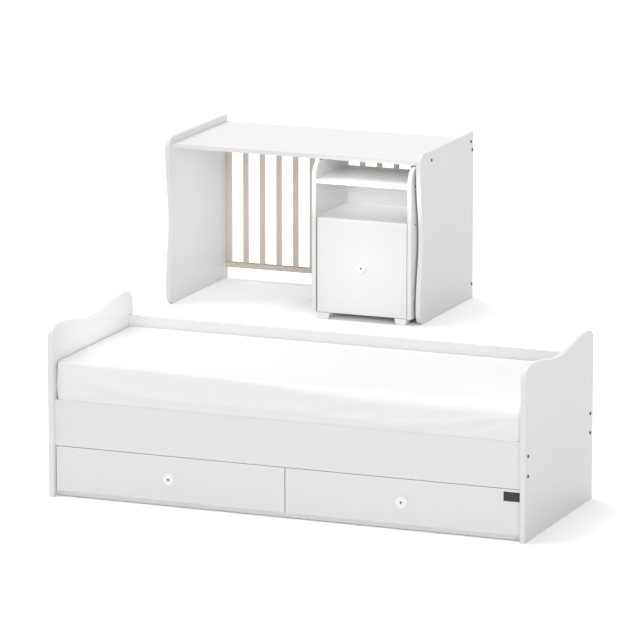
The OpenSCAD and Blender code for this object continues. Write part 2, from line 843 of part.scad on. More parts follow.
module desk_slat_bars() {
    color("antiquewhite") translate(desk_at) difference() {
        bars(0);
        for (b = [desk_bolts[2], desk_bolts[3]])
            board_holes(desk_l, [b], [], rail_t);
    }
}

// Cabinet's screw along +X with its head flush at x = 0
module screw(clear) {
    rod_x(screw_r + clear, screw_l + clear);
    rod_x(screw_head_r + clear, screw_head_h + clear);
}

module side_screws(clear) {
    both_ends() for (p = cab_screws) translate([-cab_w / 2, p[0], p[1]]) screw(clear);
}

module foot_screws(clear) {
    for (p = foot_xy) translate([p[0], p[1], foot_sink]) rotate([0, -90, 0]) screw(clear);
}

module cabinet_screws() {
    color("dimgray") translate(cab_at) {
        side_screws(0);
        foot_screws(0);
    }
}

module cab_side() {
    difference() {
        translate([-cab_w / 2, 0, 0]) rotate([90, 0, 90]) linear_extrude(cab_t) {
            translate([0, foot_h]) square([cab_d, cab_h - foot_h - cab_r]);
            translate([cab_r, foot_h]) square([cab_d - cab_r, cab_h - foot_h]);
            translate([cab_r, cab_h - cab_r]) circle(cab_r);
        }
        side_screws(hole_clear);
    }
}

module cabinet_left_side() {
    color("white") translate(cab_at) cab_side();
}

module cabinet_right_side() {
    color("white") translate(cab_at) mirror([1, 0, 0]) cab_side();
}

module cab_board(y0, z) {
    color("white") translate(cab_at) difference() {
        block([-cab_in, y0, z], [cab_in, board_depth, z + cab_t]);
        side_screws(hole_clear);
        foot_screws(hole_clear);
    }
}

module cabinet_top() {
    cab_board(top_board_y, cab_top_z);
}

module cabinet_niche_floor() {
    cab_board(lower_board_y, niche_z - cab_t);
}

module cabinet_bottom() {
    cab_board(lower_board_y, foot_h);
}

module cabinet_back() {
    color("white") translate(cab_at)
        block([-cab_in, board_depth, foot_h], [cab_in, cab_d, cab_top_z + cab_t]);
}

// The feet taper towards the floor at both sides, and stand upright in front, in line with
// the drawer front
module cabinet_feet() {
    low = foot_low / 2;
    top = foot_top / 2;
    color("ivory") translate(cab_at) difference() {
        for (p = foot_xy) translate([p[0], p[1] + foot_deep / 2, 0]) rotate([90, 0, 0])
            linear_extrude(foot_deep)
                polygon([[-low, 0], [low, 0], [top, foot_h], [-top, foot_h]]);
        foot_screws(hole_clear);
        for (p = foot_xy) translate([p[0], p[1], -cut])
            cylinder(r = screw_head_r + hole_clear, h = foot_sink + 2 * cut);
    }
}

module cabinet_runners() { translate(cab_at) fixed_runners(cab_drawer); }

module cabinet_drawer_front() { translate(cab_at) drawer_front(cab_drawer); }
module cabinet_drawer_left_side() { translate(cab_at) drawer_left_side(cab_drawer); }
module cabinet_drawer_right_side() { translate(cab_at) drawer_right_side(cab_drawer); }
module cabinet_drawer_back() { translate(cab_at) drawer_back(cab_drawer); }
module cabinet_drawer_bottom() { translate(cab_at) drawer_bottom(cab_drawer); }
module cabinet_drawer_knob() { translate(cab_at) knob(cab_drawer); }
module cabinet_drawer_knob_screw() { translate(cab_at) knob_screw(cab_drawer); }
module cabinet_drawer_runners() { translate(cab_at) moving_runners(cab_drawer); }
module cabinet_front_rollers() { translate(cab_at) front_rollers(cab_drawer); }
module cabinet_rear_rollers() { translate(cab_at) rear_rollers(cab_drawer); }

bed_left_panel();
bed_right_panel();
bed_front_board();
bed_back_board();
bed_bottom_rail();
bed_centre_partition();
bed_ledgers();
bed_slats();
mattress();
bed_drawer_runners();
desk_left_panel();
desk_right_panel();
desk_top();
desk_slat_top_rail();
desk_slat_bottom_rail();
desk_slat_bars();
desk_hole_plug();
panel_bolts();
panel_barrel_nuts();
panel_dowels();
left_drawer_front();
left_drawer_left_side();
left_drawer_right_side();
left_drawer_back();
left_drawer_bottom();
left_drawer_knob();
left_drawer_knob_screw();
left_drawer_runners();
left_front_rollers();
left_rear_rollers();
right_drawer_front();
right_drawer_left_side();
right_drawer_right_side();
right_drawer_back();
right_drawer_bottom();
right_drawer_knob();
right_drawer_knob_screw();
right_drawer_plate();
right_drawer_runners();
right_front_rollers();
right_rear_rollers();
cabinet_left_side();
cabinet_right_side();
cabinet_top();
cabinet_niche_floor();
cabinet_bottom();
cabinet_back();
cabinet_feet();
cabinet_screws();
cabinet_runners();
cabinet_drawer_front();
cabinet_drawer_left_side();
cabinet_drawer_right_side();
cabinet_drawer_back();
cabinet_drawer_bottom();
cabinet_drawer_knob();
cabinet_drawer_knob_screw();
cabinet_drawer_runners();
cabinet_front_rollers();
cabinet_rear_rollers();
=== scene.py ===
"""Looks of a convertible crib in its grown-up form: a junior bed with two drawers and a
mattress, and a desk with a slatted back and a small drawer cabinet under its right end.
The boards, timber, knobs and fittings are dressed around the packed model, in metres."""

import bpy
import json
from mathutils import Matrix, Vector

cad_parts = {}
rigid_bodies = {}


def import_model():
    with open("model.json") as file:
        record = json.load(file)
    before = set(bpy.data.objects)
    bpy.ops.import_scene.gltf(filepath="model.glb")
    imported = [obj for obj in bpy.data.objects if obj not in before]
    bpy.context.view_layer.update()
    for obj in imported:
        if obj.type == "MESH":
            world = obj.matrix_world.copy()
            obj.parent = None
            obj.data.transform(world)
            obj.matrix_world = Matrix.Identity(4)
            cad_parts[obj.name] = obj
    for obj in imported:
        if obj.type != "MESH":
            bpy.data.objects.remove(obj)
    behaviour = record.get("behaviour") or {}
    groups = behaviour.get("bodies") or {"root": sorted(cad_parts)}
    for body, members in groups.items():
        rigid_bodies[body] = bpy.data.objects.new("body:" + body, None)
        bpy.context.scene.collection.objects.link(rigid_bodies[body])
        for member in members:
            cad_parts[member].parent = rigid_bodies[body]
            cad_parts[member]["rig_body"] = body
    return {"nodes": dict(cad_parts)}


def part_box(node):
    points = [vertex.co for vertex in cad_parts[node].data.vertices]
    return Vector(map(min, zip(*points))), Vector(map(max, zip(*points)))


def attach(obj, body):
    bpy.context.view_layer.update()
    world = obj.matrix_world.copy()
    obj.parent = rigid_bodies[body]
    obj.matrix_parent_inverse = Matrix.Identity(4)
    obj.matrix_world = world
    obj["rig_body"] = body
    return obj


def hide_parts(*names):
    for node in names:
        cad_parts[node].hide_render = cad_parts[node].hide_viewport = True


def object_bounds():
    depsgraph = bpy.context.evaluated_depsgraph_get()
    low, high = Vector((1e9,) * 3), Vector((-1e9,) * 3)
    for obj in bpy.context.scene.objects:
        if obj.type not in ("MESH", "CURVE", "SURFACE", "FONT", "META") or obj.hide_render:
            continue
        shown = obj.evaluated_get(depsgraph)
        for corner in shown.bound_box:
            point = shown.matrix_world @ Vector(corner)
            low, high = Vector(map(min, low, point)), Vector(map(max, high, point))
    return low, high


bl_info = {
    "name": "Convertible Crib Looks",
    "version": (1, 0, 0),
    "blender": (4, 5, 0),
    "location": "3D View > Sidebar > Crib",
    "description": "Dresses a convertible crib's junior bed and desk, and sets up their studio",
    "category": "Object",
}

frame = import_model()
CAD_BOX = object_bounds()

import json
import math

import bmesh
import bpy
from bpy.props import FloatProperty, FloatVectorProperty, IntProperty, PointerProperty
from mathutils import Vector, noise

MM = 0.001

DRAWERS = ("left_drawer", "right_drawer", "cabinet_drawer")
BOARDS = (
    "bed_left_panel", "bed_right_panel", "bed_front_board", "bed_back_board",
    "bed_bottom_rail", "bed_centre_partition", "desk_left_panel", "desk_right_panel", "desk_top",
    "cabinet_left_side", "cabinet_right_side", "cabinet_top", "cabinet_niche_floor",
    "cabinet_bottom",
    *(f"{drawer}_{board}" for drawer in DRAWERS
      for board in ("front", "left_side", "right_side", "back")),
)
HARDBOARDS = ("cabinet_back", *(f"{drawer}_bottom" for drawer in DRAWERS))
STEEL = ("bed_drawer_runners", "cabinet_runners", *(f"{drawer}_runners" for drawer in DRAWERS))
ROLLERS = tuple(f"{place}_{end}_rollers" for place in ("left", "right", "cabinet")
                for end in ("front", "rear"))

# Axes of the frame: along the bed, from front to back, and up
X, Y, Z = range(3)

# Sockets of the Mix node: its factor, then two colours and their mix, then two numbers and theirs
MIX_FACTOR = 0
COLOUR_A, COLOUR_B, COLOUR_MIX = 6, 7, 2
NUMBER_A, NUMBER_B, NUMBER_MIX = 2, 3, 0

# Points closer than this are one point, and faces that bend less than this are one face
SAME_POINT = 0.01 * MM
SAME_FACE = math.radians(0.5)
# The bend from which an edge is rounded, and the bend from which the shading keeps it crisp
ROUNDED = math.radians(40)
CRISP = math.radians(50)


def linear(hex_colour):
    """Linear red, green and blue of an sRGB hex colour."""
    channels = [int(hex_colour[i:i + 2], 16) / 255 for i in (0, 2, 4)]
    return tuple(c / 12.92 if c <= 0.04045 else ((c + 0.055) / 1.055) ** 2.4 for c in channels)


def colour(label, description, hex_colour):
    """A colour that the user can change."""
    return FloatVectorProperty(name=label, description=description, subtype="COLOR", size=3,
                               min=0.0, max=1.0, default=linear(hex_colour))


def length(label, description, metres, least=0.0, most=100.0):
    """A length that the user can change."""
    return FloatProperty(name=label, description=description, unit="LENGTH", subtype="DISTANCE",
                         min=least, max=most, default=metres, precision=4)


def level(label, description, value, most=100.0):
    """A strength or a share that the user can change."""
    return FloatProperty(name=label, description=description, min=0.0, max=most, default=value)


def angle(label, description, degrees):
    """An angle that the user can change."""
    return FloatProperty(name=label, description=description, subtype="ANGLE", unit="ROTATION",
                         default=math.radians(degrees))


def direction(label, description, way):
    """A direction that the user can change."""
    return FloatVectorProperty(name=label, description=description, subtype="DIRECTION", size=3,
                               default=way)


def offset(label, description, metres):
    """A step from one place to another that the user can change."""
    return FloatVectorProperty(name=label, description=description, subtype="TRANSLATION",
                               unit="LENGTH", size=3, default=metres)


class BoardSettings(bpy.types.PropertyGroup):
    """White melamine-faced boards and faced hardboard"""
    face: colour("Face", "Colour of the melamine faces", "EFEFEF")
    face_shade: colour("Face shade", "Slightly greyer tone that clouds the faces", "ECECEC")
    band: colour("Edge band", "Colour of the edge bands", "F2F2F2")
    hardboard: colour("Hardboard", "Colour of the back panel and the drawer bottoms", "EEEEED")
    edge_round: length("Edge radius", "Radius of the banded edges", 1.2 * MM)


class TimberSettings(bpy.types.PropertyGroup):
    """Beech of the slatted back, the bed base and the feet"""
    bars: colour("Bars", "Pale lacquered beech of the slatted back", "EBE2D6")
    bars_grain: colour("Bars grain", "Darker grain of the slatted back", "DBCFBF")
    beech: colour("Beech", "Bare beech of the slats and ledgers", "D9BC94")
    beech_grain: colour("Beech grain", "Darker grain of the bare beech", "C29F72")
    feet: colour("Feet", "Cream-white lacquer of the cabinet's feet", "F8F6F0")
    bar_round: length("Bar radius", "Radius of the edges of bars, rails, slats and ledgers",
                      2 * MM)


class KnobSettings(bpy.types.PropertyGroup):
    """Turned knobs"""
    lacquer: colour("Lacquer", "White lacquer of the knobs", "FCFCFB")
    segments: IntProperty(name="Segments", description="Facets around a knob", default=96, min=24)
    dish: length("Dish", "Depth of the shallow hollow in the knob's face", 0.7 * MM)


class MattressSettings(bpy.types.PropertyGroup):
    """Foam mattress and its fitted sheet"""
    cotton: colour("Cotton", "Colour of the fitted sheet", "F9F9FA")
    cover: colour("Foam cover", "Colour of the foam's own cover", "EFEDE8")
    mesh_size: length("Mesh size", "Size of the mattress's mesh", 12 * MM, 4 * MM)
    crisp_roll: length("Crisp edge", "Roll of the top front edge under the tight sheet", 11 * MM)
    soft_roll: length("Soft edge", "Roll of the top front edge under the loose sheet", 58 * MM)
    side_roll: length("Side edges", "Roll of the other top edges", 12 * MM)
    lip: length("Lip", "How far the sheet's lowest fold stands out over the bed base", 1.8 * MM)
    sag: length("Sag", "Fall of the top towards the loose front edge", 13 * MM)
    bulge: length("Bulge", "How far the sides swell at half height", 4 * MM)
    tuck: length("Tuck", "Width of the sheet that is turned under", 90 * MM)
    slack: level("Slack", "Share by which the loose sheet is too long", 0.012, 0.05)


class FittingSettings(bpy.types.PropertyGroup):
    """Runners, rollers, bolts, screws, plug and plate"""
    steel: colour("Runner", "White powder coat of the runners", "ECECEA")
    nylon: colour("Nylon", "Colour of the rollers", "F0EFEA")
    burnished: colour("Burnished steel", "Colour of the bolts and screws", "5A5856")
    zinc: colour("Zinc", "Colour of the barrel nuts", "C9C9C6")
    plug: colour("Plug", "Colour of the plug under the desktop", "3A3A3A")
    plate: colour("Plate", "Colour of the bare plate", "262628")


class StageSettings(bpy.types.PropertyGroup):
    """Studio and camera"""
    ambient: level("Ambient", "Level of the light from all round", 0.53)
    key: level("Key", "Strength of the large soft light overhead", 1.57)
    key_width: angle("Key width", "Angle that the key covers", 50)
    key_way: direction("Key way", "Where the key shines", (0.42, -0.05, -0.9))
    fill: level("Fill", "Strength of the low soft light by the camera", 0.86)
    fill_width: angle("Fill width", "Angle that the fill covers", 40)
    fill_way: direction("Fill way", "Where the fill shines", (-0.46, 0.86, -0.21))
    desk_box: level("Desk softbox", "Power of the softbox that faces the desk's left panel", 0.5)
    desk_box_off: offset("Desk softbox place", "From the desk's middle", (0.0, -0.1, 0.0))
    desk_box_aim: offset("Desk softbox aim", "From the desk's middle", (-0.59, -0.1, 0.0))
    niche_box: level("Niche softbox", "Power of the softbox for the back of the niche", 0.03)
    niche_box_off: offset("Niche softbox place", "From the desk's middle", (0.344, -2.76, 0.48))
    niche_box_aim: offset("Niche softbox aim", "From the desk's middle", (0.344, -0.36, 0.23))
    shelf_box: level("Shelf softbox", "Power of the softbox for the cabinet's shelves", 0.26)
    shelf_box_off: offset("Shelf softbox place", "From the desk's middle", (0.344, -2.76, 1.3))
    shelf_box_aim: offset("Shelf softbox aim", "From the desk's middle", (0.344, -0.36, 0.3))
    front_box: level("Front softbox", "Power of the softbox for the cabinet's front", 0.25)
    front_box_off: offset("Front softbox place", "From the desk's middle", (0.344, -6.0, 2.25))
    front_box_aim: offset("Front softbox aim", "From the desk's middle", (0.344, -0.36, -0.06))
    bed_box: level("Bed softbox", "Power of the softbox over the bed", 0.2)
    bed_box_off: offset("Bed softbox place", "From the bed's middle", (1.6, 0.0, 0.75))
    bed_box_aim: offset("Bed softbox aim", "From the bed's middle", (-0.95, 0.0, 0.28))
    floor: level("Floor", "Share of the light that the floor returns", 0.76, 1.0)
    azimuth: angle("Azimuth", "The camera's turn to the right of the front", 22)
    elevation: angle("Elevation", "The camera's angle above level, at the bed's middle", 13.2)
    distance: length("Distance", "Level distance from the bed's middle to the camera", 20.0)
    lens: FloatProperty(name="Lens", description="Focal length in millimetres", default=302.0,
                        min=10.0)


def add(tree, kind, values=None, links=None):
    """Adds a node with its settings, socket values and links."""
    node = tree.nodes.new(kind)
    for name, value in (values or {}).items():
        if isinstance(name, int) or name in node.inputs:
            node.inputs[name].default_value = value
        else:
            setattr(node, name, value)
    for name, socket in (links or {}).items():
        tree.links.new(socket, node.inputs[name])
    return node


def opaque(rgb):
    """A colour with its fourth channel, as a socket takes it."""
    return (*rgb, 1.0)


def shaded(rgb, share):
    """A colour with a share of its light."""
    return tuple(share * channel for channel in rgb)


def start_material(name, values):
    """A new material, its tree and its shader with the uniform values set."""
    material = bpy.data.materials.new(name)
    material.use_nodes = True
    shader = material.node_tree.nodes["Principled BSDF"]
    for socket, value in values.items():
        shader.inputs[socket].default_value = value
    return material, material.node_tree, shader


def place_on(tree, scale=(1, 1, 1)):
    """Place on the piece in metres. A scale under 1 stretches the pattern along that axis."""
    coordinates = add(tree, "ShaderNodeTexCoord")
    return add(tree, "ShaderNodeMapping", {"Scale": scale},
               {"Vector": coordinates.outputs["Object"]}).outputs["Vector"]


def tint(tree, shader, factor, low, high):
    """The base colour goes from low to high with the factor."""
    mix = add(tree, "ShaderNodeMix",
              {"data_type": "RGBA", COLOUR_A: opaque(low), COLOUR_B: opaque(high)},
              {MIX_FACTOR: factor})
    tree.links.new(mix.outputs[COLOUR_MIX], shader.inputs["Base Color"])


def gloss(tree, shader, factor, low, high):
    """The roughness goes from low to high with the factor."""
    spread = add(tree, "ShaderNodeMapRange", {"To Min": low, "To Max": high}, {"Value": factor})
    tree.links.new(spread.outputs["Result"], shader.inputs["Roughness"])


def relief(tree, shader, height, depth, strength=1.0):
    """The height stands out by depth, in metres."""
    bump = add(tree, "ShaderNodeBump", {"Strength": strength, "Distance": depth},
               {"Height": height})
    tree.links.new(bump.outputs["Normal"], shader.inputs["Normal"])


def melamine_board(settings):
    """Melamine-faced chipboard, pressed against an embossed plate: an even white with a
    satin gloss, a fine pearl emboss and clouds so faint that the white looks alive."""
    cloud_size, pearl_size, pearl_depth = 300 * MM, 2.5 * MM, 0.03 * MM
    smooth, dull = 0.36, 0.5
    material, tree, shader = start_material("melamine_faced_chipboard", {"IOR": 1.57})
    place = place_on(tree)
    cloud = add(tree, "ShaderNodeTexNoise", {"Scale": 1 / cloud_size, "Detail": 2.0},
                {"Vector": place})
    pearl = add(tree, "ShaderNodeTexNoise",
                {"Scale": 1 / pearl_size, "Detail": 2.0, "Roughness": 0.4}, {"Vector": place})
    tint(tree, shader, cloud.outputs["Fac"], settings.face_shade, settings.face)
    gloss(tree, shader, pearl.outputs["Fac"], smooth, dull)
    relief(tree, shader, pearl.outputs["Fac"], pearl_depth, strength=0.5)
    return material


def abs_edge_band(settings):
    """ABS edge band, extruded and scraped flush: a little whiter and glossier than the
    melamine, with fine lines along the board that the scraper leaves."""
    line_size, line_depth, line_stretch, wave_size = 1.2 * MM, 0.02 * MM, 0.04, 60 * MM
    smooth, dull = 0.28, 0.4
    material, tree, shader = start_material("scraped_abs_edge_band", {"IOR": 1.53})
    place = place_on(tree, (line_stretch, 1.0, line_stretch))
    lines = add(tree, "ShaderNodeTexNoise", {"Scale": 1 / line_size, "Detail": 1.0},
                {"Vector": place})
    waves = add(tree, "ShaderNodeTexNoise", {"Scale": 1 / wave_size, "Detail": 1.0},
                {"Vector": place_on(tree)})
    tint(tree, shader, waves.outputs["Fac"], settings.face, settings.band)
    gloss(tree, shader, lines.outputs["Fac"], smooth, dull)
    relief(tree, shader, lines.outputs["Fac"], line_depth, strength=0.4)
    return material


def faced_hardboard(settings):
    """Hardboard with a printed white face: matter than the boards, with the fibres just
    showing as short soft specks."""
    fibre_size, fibre_depth, fibre_stretch, patch_size = 1.5 * MM, 0.05 * MM, 0.5, 90 * MM
    smooth, dull = 0.55, 0.7
    material, tree, shader = start_material("white_faced_hardboard", {"IOR": 1.5})
    fibres = add(tree, "ShaderNodeTexNoise",
                 {"Scale": 1 / fibre_size, "Detail": 3.0, "Roughness": 0.6},
                 {"Vector": place_on(tree, (fibre_stretch, 1.0, 1.0))})
    patches = add(tree, "ShaderNodeTexNoise", {"Scale": 1 / patch_size, "Detail": 3.0},
                  {"Vector": place_on(tree)})
    tint(tree, shader, patches.outputs["Fac"], settings.hardboard, settings.face)
    gloss(tree, shader, fibres.outputs["Fac"], smooth, dull)
    relief(tree, shader, fibres.outputs["Fac"], fibre_depth, strength=0.5)
    return material


def beech(name, pale, dark, along, values):
    """Beech, sawn and sanded: straight close grain along one axis, and the short darker
    flecks of the rays that give beech away."""
    ring_size, ring_stretch, fleck_size, fleck_stretch = 5 * MM, 0.04, 1.6 * MM, 0.25
    grain_depth, dull, smooth = 0.06 * MM, 0.5, 0.38
    rings_run, flecks_run = ([stretch if axis == along else 1.0 for axis in (X, Y, Z)]
                             for stretch in (ring_stretch, fleck_stretch))
    material, tree, shader = start_material(name, values)
    grain = add(tree, "ShaderNodeTexNoise",
                {"Scale": 1 / ring_size, "Detail": 4.0, "Roughness": 0.55, "Distortion": 0.4},
                {"Vector": place_on(tree, rings_run)})
    cells = add(tree, "ShaderNodeTexVoronoi", {"Scale": 1 / fleck_size},
                {"Vector": place_on(tree, flecks_run)})
    flecks = add(tree, "ShaderNodeMapRange",
                 {"From Min": 0.05, "From Max": 0.3, "To Min": 0.0, "To Max": 1.0},
                 {"Value": cells.outputs["Distance"]})
    both = add(tree, "ShaderNodeMath", {"operation": "MULTIPLY"},
               {0: grain.outputs["Fac"], 1: flecks.outputs["Result"]})
    tint(tree, shader, both.outputs["Value"], dark, pale)
    gloss(tree, shader, grain.outputs["Fac"], dull, smooth)
    relief(tree, shader, both.outputs["Value"], grain_depth, strength=0.4)
    return material


def sprayed_lacquer(name, tone, shade, roughness):
    """Lacquer sprayed over sanded beech: a smooth opaque coat with a slight orange peel and
    a tone that thins a little here and there."""
    peel_size, peel_depth, thin_size, change = 3 * MM, 0.05 * MM, 25 * MM, 0.04
    material, tree, shader = start_material(name, {"IOR": 1.5, "Coat Weight": 0.3,
                                                   "Coat Roughness": 0.2})
    peel = add(tree, "ShaderNodeTexNoise", {"Scale": 1 / peel_size, "Detail": 1.0},
               {"Vector": place_on(tree)})
    thin = add(tree, "ShaderNodeTexNoise", {"Scale": 1 / thin_size, "Detail": 2.0},
               {"Vector": place_on(tree)})
    tint(tree, shader, thin.outputs["Fac"], shade, tone)
    gloss(tree, shader, thin.outputs["Fac"], roughness - change, roughness + change)
    relief(tree, shader, peel.outputs["Fac"], peel_depth, strength=0.3)
    return material


def woven(name, tone, values, thread, crumple_size):
    """Plain-woven cloth: threads along the piece and across it, or up it where it stands,
    and a soft crumple under them."""
    weave_depth, dull, smooth = 0.12 * MM, 0.95, 0.85
    # Height of the crumple in threads, how far up or down a face looks that counts as lying,
    # and the share of the tone left between the threads, as painted shade in the weave's gaps
    crumple_height, lying, between = 12.0, 0.7, 0.97
    material, tree, shader = start_material(name, values)
    place = place_on(tree)
    # The bands of a wave texture at scale 1 are a tenth of pi apart
    along, across, upright = [
        add(tree, "ShaderNodeTexWave",
            {"wave_type": "BANDS", "bands_direction": axis, "Scale": math.pi / (10 * thread),
             "Distortion": 0.6, "Detail": 1.0}, {"Vector": place}).outputs["Fac"]
        for axis in ("X", "Y", "Z")]
    normal = add(tree, "ShaderNodeSeparateXYZ", {},
                 {"Vector": add(tree, "ShaderNodeTexCoord").outputs["Normal"]})
    slope = add(tree, "ShaderNodeMath", {"operation": "ABSOLUTE"}, {0: normal.outputs["Z"]})
    flat = add(tree, "ShaderNodeMath", {"operation": "GREATER_THAN", 1: lying},
               {0: slope.outputs["Value"]})
    second = add(tree, "ShaderNodeMix", {"data_type": "FLOAT"},
                 {MIX_FACTOR: flat.outputs["Value"], NUMBER_A: upright, NUMBER_B: across})
    weave = add(tree, "ShaderNodeMath", {"operation": "MULTIPLY"},
                {0: along, 1: second.outputs[NUMBER_MIX]})
    crumple = add(tree, "ShaderNodeTexNoise",
                  {"Scale": 1 / crumple_size, "Detail": 3.0, "Roughness": 0.5},
                  {"Vector": place})
    height = add(tree, "ShaderNodeMath", {"operation": "MULTIPLY_ADD", 1: crumple_height},
                 {0: crumple.outputs["Fac"], 2: weave.outputs["Value"]})
    # The tone is darker between the threads: painted shade in the gaps of the weave
    tint(tree, shader, weave.outputs["Value"], shaded(tone, between), tone)
    gloss(tree, shader, weave.outputs["Value"], dull, smooth)
    relief(tree, shader, height.outputs["Value"], weave_depth, strength=0.6)
    return material


def percale(settings):
    """Cotton percale, woven and washed once: matt, with a faint fuzz at grazing angles. The
    threads are 0.3 mm apart, and are drawn 1.5 mm apart so that they show."""
    return woven("cotton_percale", settings.cotton,
                 {"IOR": 1.46, "Sheen Weight": 0.25, "Sheen Roughness": 0.5},
                 thread=1.5 * MM, crumple_size=40 * MM)


def ticking(settings):
    """Polyester ticking over the foam: a tighter, smoother cloth with a little more gloss,
    and threads 0.5 mm apart that are drawn 2 mm apart."""
    return woven("polyester_ticking", settings.cover, {"IOR": 1.55, "Sheen Weight": 0.1},
                 thread=2 * MM, crumple_size=120 * MM)


def powder_coat(settings):
    """Rolled steel, powder-coated white: satin, with the coat's even orange peel."""
    peel_size, peel_depth, between = 1.5 * MM, 0.05 * MM, 0.96
    smooth, dull = 0.3, 0.42
    material, tree, shader = start_material("powder_coated_steel", {"IOR": 1.5})
    peel = add(tree, "ShaderNodeTexNoise", {"Scale": 1 / peel_size, "Detail": 2.0},
               {"Vector": place_on(tree)})
    # Darker in the hollows of the orange peel: painted shade
    tint(tree, shader, peel.outputs["Fac"], shaded(settings.steel, between), settings.steel)
    gloss(tree, shader, peel.outputs["Fac"], smooth, dull)
    relief(tree, shader, peel.outputs["Fac"], peel_depth, strength=0.5)
    return material


def moulded_plastic(name, tone, roughness):
    """Injection-moulded plastic from a spark-eroded tool: one colour through, with a fine
    even grain that dulls the gloss."""
    spark_size, spark_depth, between = 0.8 * MM, 0.03 * MM, 0.94
    smoother, duller = 0.05, 0.08
    material, tree, shader = start_material(name, {"IOR": 1.5, "Subsurface Weight": 0.05})
    grain = add(tree, "ShaderNodeTexNoise", {"Scale": 1 / spark_size, "Detail": 2.0},
                {"Vector": place_on(tree)})
    # Darker in the pits of the spark-eroded grain: painted shade
    tint(tree, shader, grain.outputs["Fac"], shaded(tone, between), tone)
    gloss(tree, shader, grain.outputs["Fac"], roughness - smoother, roughness + duller)
    relief(tree, shader, grain.outputs["Fac"], spark_depth, strength=0.5)
    return material


def plated_steel(name, tone, roughness):
    """Turned or headed steel with a thin finish: metallic, with the tool's fine marks and a
    tone that clouds where the finish is thinner."""
    mark_size, mark_depth, mark_stretch, cloud_size = 0.4 * MM, 0.01 * MM, 0.3, 3 * MM
    clouded, smoother, duller = 0.8, 0.06, 0.1
    material, tree, shader = start_material(name, {"Metallic": 1.0})
    marks = add(tree, "ShaderNodeTexNoise", {"Scale": 1 / mark_size, "Detail": 1.0},
                {"Vector": place_on(tree, (mark_stretch, 1.0, 1.0))})
    clouds = add(tree, "ShaderNodeTexNoise", {"Scale": 1 / cloud_size, "Detail": 2.0},
                 {"Vector": place_on(tree)})
    tint(tree, shader, clouds.outputs["Fac"], shaded(tone, clouded), tone)
    gloss(tree, shader, marks.outputs["Fac"], roughness - smoother, roughness + duller)
    relief(tree, shader, marks.outputs["Fac"], mark_depth, strength=0.5)
    return material


def new_piece(name, mesh, nodes, materials):
    """A piece that stands for CAD nodes of one body: it rides on their body, takes the given
    materials and hides the nodes."""
    piece = bpy.data.objects.new(name, mesh)
    bpy.context.scene.collection.objects.link(piece)
    mesh.materials.clear()
    for material in materials:
        mesh.materials.append(material)
    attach(piece, frame["nodes"][nodes[0]]["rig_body"])
    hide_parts(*nodes)
    return piece


def even_normals(piece):
    """Flat faces keep their own normals, and the roundings between them blend."""
    piece.data.shade_smooth()
    piece.data.set_sharp_from_angle(angle=CRISP)
    piece.modifiers.new("even_normals", "WEIGHTED_NORMAL").keep_sharp = True


def joined_faces(node):
    """A CAD node's mesh with its triangles joined into flat faces, ready to be worked on."""
    made = bmesh.new()
    made.from_mesh(frame["nodes"][node].data)
    bmesh.ops.remove_doubles(made, verts=made.verts, dist=SAME_POINT)
    bmesh.ops.dissolve_limit(made, angle_limit=SAME_FACE, verts=made.verts, edges=made.edges)
    return made


def finished_mesh(made, name):
    """The worked shape as a mesh."""
    mesh = bpy.data.meshes.new(name)
    made.to_mesh(mesh)
    made.free()
    return mesh


def round_edges(made, radius, shortest):
    """Rounds the outward edges. Edges shorter than shortest are the rims of holes, and stay."""
    sharp = [edge for edge in made.edges
             if edge.is_manifold and edge.is_convex and edge.calc_length() > shortest
             and edge.calc_face_angle() > ROUNDED]
    bmesh.ops.bevel(made, geom=sharp, offset=radius, offset_type="OFFSET", segments=3,
                    profile=0.5, affect="EDGES", clamp_overlap=False)


def thin_axis(node):
    """The axis along which a CAD node is thinnest."""
    low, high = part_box(node)
    size = high - low
    return min((X, Y, Z), key=lambda axis: size[axis])


def dress(node, name, radius, materials, shortest=1 * MM):
    """A new piece in the shape of a CAD node, with rounded edges. A second material goes on
    the faces that don't look squarely along the node's thin axis."""
    squarely = 0.99
    made = joined_faces(node)
    round_edges(made, radius, shortest)
    if len(materials) > 1:
        axis = thin_axis(node)
        for face in made.faces:
            face.material_index = 0 if abs(face.normal[axis]) > squarely else 1
    even_normals(new_piece(name, finished_mesh(made, name), [node], materials))


class CRIB_OT_boards(bpy.types.Operator):
    """Face and edge-band every white board of the bed, the desk, the cabinet and the drawers"""
    bl_idname = "crib.boards"
    bl_label = "White boards"

    def execute(self, context):
        settings = context.scene.crib_boards
        materials = [melamine_board(settings), abs_edge_band(settings)]
        for node in BOARDS:
            dress(node, f"{node}_faced", settings.edge_round, materials)
        return {"FINISHED"}


class CRIB_OT_hardboards(bpy.types.Operator):
    """Face the cabinet's back panel and the drawer bottoms"""
    bl_idname = "crib.hardboards"
    bl_label = "Hardboard panels"

    edge_round = 0.4 * MM

    def execute(self, context):
        material = faced_hardboard(context.scene.crib_boards)
        for node in HARDBOARDS:
            dress(node, f"{node}_faced", self.edge_round, [material])
        return {"FINISHED"}


class CRIB_OT_slatted_back(bpy.types.Operator):
    """Lacquer the desk's slatted back: its two rails and its upright bars"""
    bl_idname = "crib.slatted_back"
    bl_label = "Slatted back"

    def execute(self, context):
        settings = context.scene.crib_timber
        finish = {"IOR": 1.5, "Coat Weight": 0.4, "Coat Roughness": 0.3}
        bars = beech("lacquered_beech_upright", settings.bars, settings.bars_grain, Z, finish)
        rails = beech("lacquered_beech_level", settings.bars, settings.bars_grain, X, finish)
        for node, material in (("desk_slat_bars", bars), ("desk_slat_top_rail", rails),
                               ("desk_slat_bottom_rail", rails)):
            dress(node, f"{node}_lacquered", settings.bar_round, [material])
        return {"FINISHED"}


